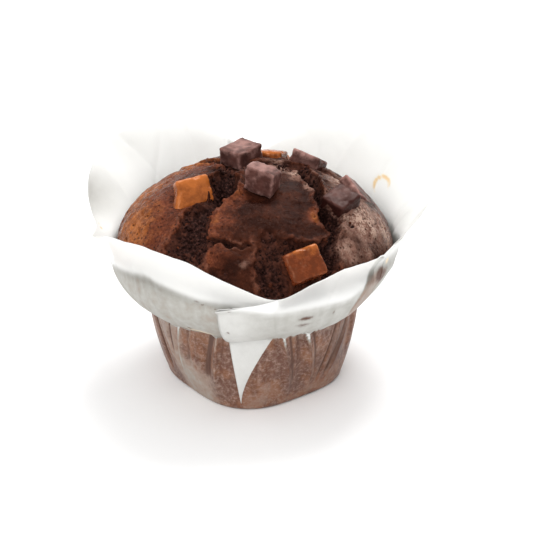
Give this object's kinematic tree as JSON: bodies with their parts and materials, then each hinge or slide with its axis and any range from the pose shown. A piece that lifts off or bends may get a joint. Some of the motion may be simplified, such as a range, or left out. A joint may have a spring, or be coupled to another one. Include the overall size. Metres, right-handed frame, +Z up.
{
  "type": "muffin",
  "caption": "Large domed chocolate muffin with chocolate and caramel chunks in its split crust, in a flared tulip paper case.",
  "frame": {"origin": "middle of the flat foot of the paper case, on the surface that the muffin stands on", "axes": "+Z up through the dome, -Y towards the front with the tall front pleat, +X to the viewer's right"},
  "size_m": [0.1081, 0.0929, 0.0728],
  "materials": {
    "cake": "matte baked crust and crumb, dark chocolate brown with orange-brown patches",
    "paper_case": "white greaseproof paper, satin, see-through brown where fat has soaked in",
    "chocolate": "satin dark chocolate with scuffed faces",
    "caramel": "glossy caramel, lighter at the edges"
  },
  "bodies": {
    "root": {"cake": "cake", "paper_case": "paper_case", "chocolate_chunk_1": "chocolate", "chocolate_chunk_2": "chocolate", "chocolate_chunk_3": "chocolate", "chocolate_chunk_4": "chocolate", "chocolate_chunk_5": "chocolate", "chocolate_chunk_6": "chocolate", "caramel_chunk_1": "caramel", "caramel_chunk_2": "caramel", "caramel_chunk_3": "caramel", "caramel_chunk_4": "caramel"}
  },
  "joints": []
}
